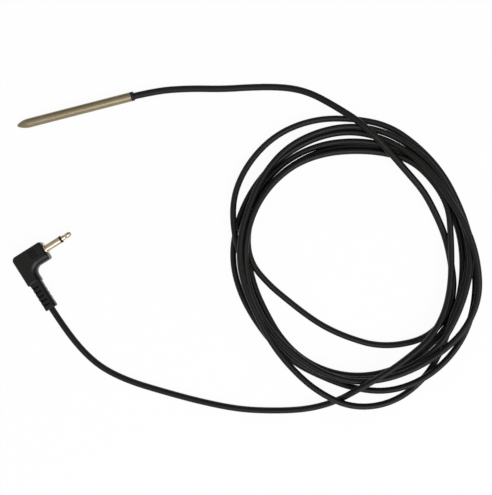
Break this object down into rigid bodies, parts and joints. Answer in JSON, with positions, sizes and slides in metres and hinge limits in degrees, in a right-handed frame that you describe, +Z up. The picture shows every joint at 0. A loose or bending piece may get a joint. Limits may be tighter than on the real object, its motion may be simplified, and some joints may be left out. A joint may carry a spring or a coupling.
{
  "type": "temperature probe lead",
  "caption": "Pointed steel temperature probe on a loosely coiled black cable with a moulded right-angle mono jack plug, made to plug into a data logger.",
  "frame": {"origin": "on the table under the middle of the probe, seal included and cable left out", "axes": "+X along the probe from its point to its cable end, +Z up"},
  "size_m": [0.2214, 0.179, 0.0076],
  "materials": {
    "sheath_steel": "satin drawn tube",
    "seal_rubber": "smooth",
    "cable_jacket": "matt extruded jacket",
    "plug_mould": "fine moulded texture",
    "inner_mould": "as moulded",
    "plated_brass": "bright nickel plate",
    "ring_plastic": "smooth",
    "washer_plastic": "punched sheet",
    "lug_brass": "tinned sheet",
    "bead_epoxy": "dipped epoxy",
    "leg_wire": "tinned wire",
    "leg_sleeve": "extruded tube",
    "splice_copper": "tinned copper",
    "signal_insulation": "extruded",
    "return_insulation": "extruded",
    "potting_resin": "cast resin",
    "solder": "bright"
  },
  "bodies": {
    "root": {"probe_sheath": "sheath_steel", "thermistor_bead": "bead_epoxy", "thermistor_legs": "leg_wire", "leg_sleeves": "leg_sleeve", "splice_crimps": "splice_copper", "probe_signal_core": "signal_insulation", "probe_return_core": "return_insulation", "probe_potting": "potting_resin", "end_seal": "seal_rubber", "probe_lead": "cable_jacket", "cable_coil": "cable_jacket", "plug_lead": "cable_jacket", "plug_housing": "plug_mould", "plug_inner_mould": "inner_mould", "plug_sleeve": "plated_brass", "plug_tip": "plated_brass", "tip_insulator": "ring_plastic", "rear_insulator": "washer_plastic", "tip_lug": "lug_brass", "sleeve_lug": "lug_brass", "plug_signal_core": "signal_insulation", "plug_return_core": "return_insulation", "plug_solder_joints": "solder"}
  },
  "joints": []
}
